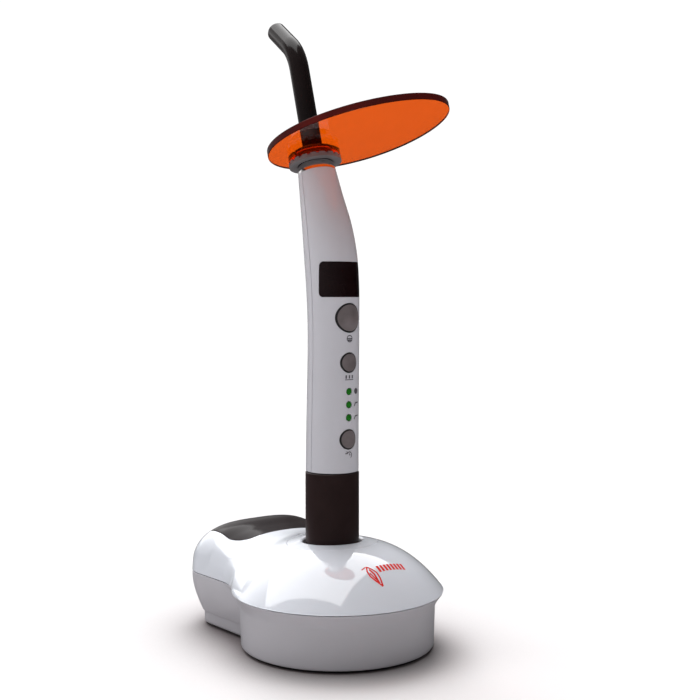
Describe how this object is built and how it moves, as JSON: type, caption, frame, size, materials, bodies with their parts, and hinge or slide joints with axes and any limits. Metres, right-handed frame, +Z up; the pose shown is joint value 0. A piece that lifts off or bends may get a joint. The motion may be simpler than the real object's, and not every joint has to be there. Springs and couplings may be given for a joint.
{
  "type": "dental curing light with charging base",
  "caption": "Cordless LED curing light: handpiece with bent light guide and oval orange shield, standing in a domed charging base with a rear tail.",
  "frame": {"origin": "on the table, straight under the axis of the handpiece and of the base's socket", "axes": "+Z up; the buttons and display face -Y; the base's tail points to +Y; +X completes the frame"},
  "size_m": [0.0946, 0.128, 0.2845],
  "materials": {
    "gloss_white": "high gloss moulded white",
    "base_grey": "satin moulded light grey",
    "smoked_window": "polished smoked plastic",
    "dark_plastic": "moulded black",
    "contact_metal": "plated contacts",
    "steel": "plated",
    "circuit_board": "solder mask",
    "led_chip": "diffuse",
    "clear_plastic": "clear",
    "lead_insulation": "soft insulation",
    "black_rubber": "matte",
    "dark_sleeve": "fine matte dark brown",
    "cell_wrap": "shrink wrap",
    "handle_grey": "gloss moulded light grey",
    "black_window": "polished black",
    "green_lens": "green lens",
    "aluminium": "machined",
    "polished_metal": "polished",
    "button_grey": "satin grey brown",
    "black_sheath": "high gloss black",
    "glass_fibre": "fused fibre glass",
    "orange_shield": "transparent orange",
    "hub_grey": "satin mid grey"
  },
  "bodies": {
    "charging_base": {"base_upper_shell": "gloss_white", "base_lower_shell": "base_grey", "tail_window": "smoked_window", "socket_bezel": "gloss_white", "socket_cup": "dark_plastic", "contact_block": "dark_plastic", "ballast_plate": "steel", "base_board": "circuit_board", "dc_jack": "dark_plastic", "charge_leds": "led_chip", "charge_light_pipe": "clear_plastic", "pin_leads": "lead_insulation", "anti_slip_pad": "black_rubber", "tail_feet": "black_rubber", "base_screws": "steel"},
    "centre_pin": {"centre_pin": "contact_metal"},
    "ring_pin": {"ring_pin": "contact_metal"},
    "battery_pack": {"battery_sleeve": "dark_sleeve", "tail_cap": "dark_sleeve", "tail_contact_disc": "contact_metal", "tail_contact_ring": "contact_metal", "battery_cell": "cell_wrap"},
    "seal": {"pack_seal_ring": "black_rubber"},
    "handle": {"handle_front_shell": "handle_grey", "handle_rear_shell": "handle_grey", "thread_ring": "contact_metal", "display_window": "black_window", "display_module": "circuit_board", "display_ribbon": "lead_insulation", "main_board": "circuit_board", "indicator_leds": "led_chip", "indicator_pipes": "green_lens", "tact_switches": "dark_plastic", "buzzer": "dark_plastic", "battery_spring": "steel", "heat_sink": "aluminium", "led_board": "aluminium", "led_emitter": "clear_plastic", "collimator_lens": "clear_plastic", "nose_ring": "polished_metal"},
    "power_key": {"power_button": "button_grey"},
    "mode_key": {"mode_button": "button_grey"},
    "time_key": {"time_button": "button_grey"},
    "guide_seal": {"guide_seal_ring": "black_rubber"},
    "light_guide": {"guide_ferrule": "dark_sleeve", "guide_sheath": "black_sheath", "guide_core": "glass_fibre"},
    "shield": {"shield_plate": "orange_shield", "shield_hub": "hub_grey", "shield_collar": "orange_shield", "shield_ring": "hub_grey"}
  },
  "joints": [
    {"name": "handpiece_lift", "type": "slide", "parent": "charging_base", "child": "battery_pack", "axis": [0, 0, 1], "range_m": [0, 0.06]},
    {"name": "centre_pin_travel", "type": "slide", "parent": "charging_base", "child": "centre_pin", "axis": [0, 0, 1], "range_m": [-0.0008, 0], "stiffness_N_per_m": 150, "springref_m": 0.0006},
    {"name": "ring_pin_travel", "type": "slide", "parent": "charging_base", "child": "ring_pin", "axis": [0, 0, 1], "range_m": [-0.0008, 0], "stiffness_N_per_m": 150, "springref_m": 0.0006},
    {"name": "thread_advance", "type": "slide", "parent": "battery_pack", "child": "seal", "axis": [0, 0, 1], "range_m": [0, 0.006]},
    {"name": "handle_unscrew", "type": "hinge", "parent": "seal", "child": "handle", "pos_m": [0, 0, 0.0778], "axis": [0, 0, 1], "range_deg": [0, 1440]},
    {"name": "power_press", "type": "slide", "parent": "handle", "child": "power_key", "axis": [0, 1, 0], "range_m": [0, 0.0004], "stiffness_N_per_m": 1500},
    {"name": "mode_press", "type": "slide", "parent": "handle", "child": "mode_key", "axis": [0, 1, 0], "range_m": [0, 0.0004], "stiffness_N_per_m": 1500},
    {"name": "time_press", "type": "slide", "parent": "handle", "child": "time_key", "axis": [0, 1, 0], "range_m": [0, 0.0004], "stiffness_N_per_m": 1500},
    {"name": "guide_pull", "type": "slide", "parent": "handle", "child": "guide_seal", "axis": [0, 0.2639, 0.9646], "range_m": [0, 0.022]},
    {"name": "guide_spin", "type": "hinge", "parent": "guide_seal", "child": "light_guide", "pos_m": [0, 0.0133, 0.2197], "axis": [0, 0.2639, 0.9646], "continuous": true},
    {"name": "shield_spin", "type": "hinge", "parent": "light_guide", "child": "shield", "pos_m": [0, 0.0133, 0.2197], "axis": [0, 0.2639, 0.9646], "continuous": true}
  ],
  "couplings": [
    {"joint": "thread_advance", "follows": "handle_unscrew", "m_per_rad": 0.00023873}
  ]
}
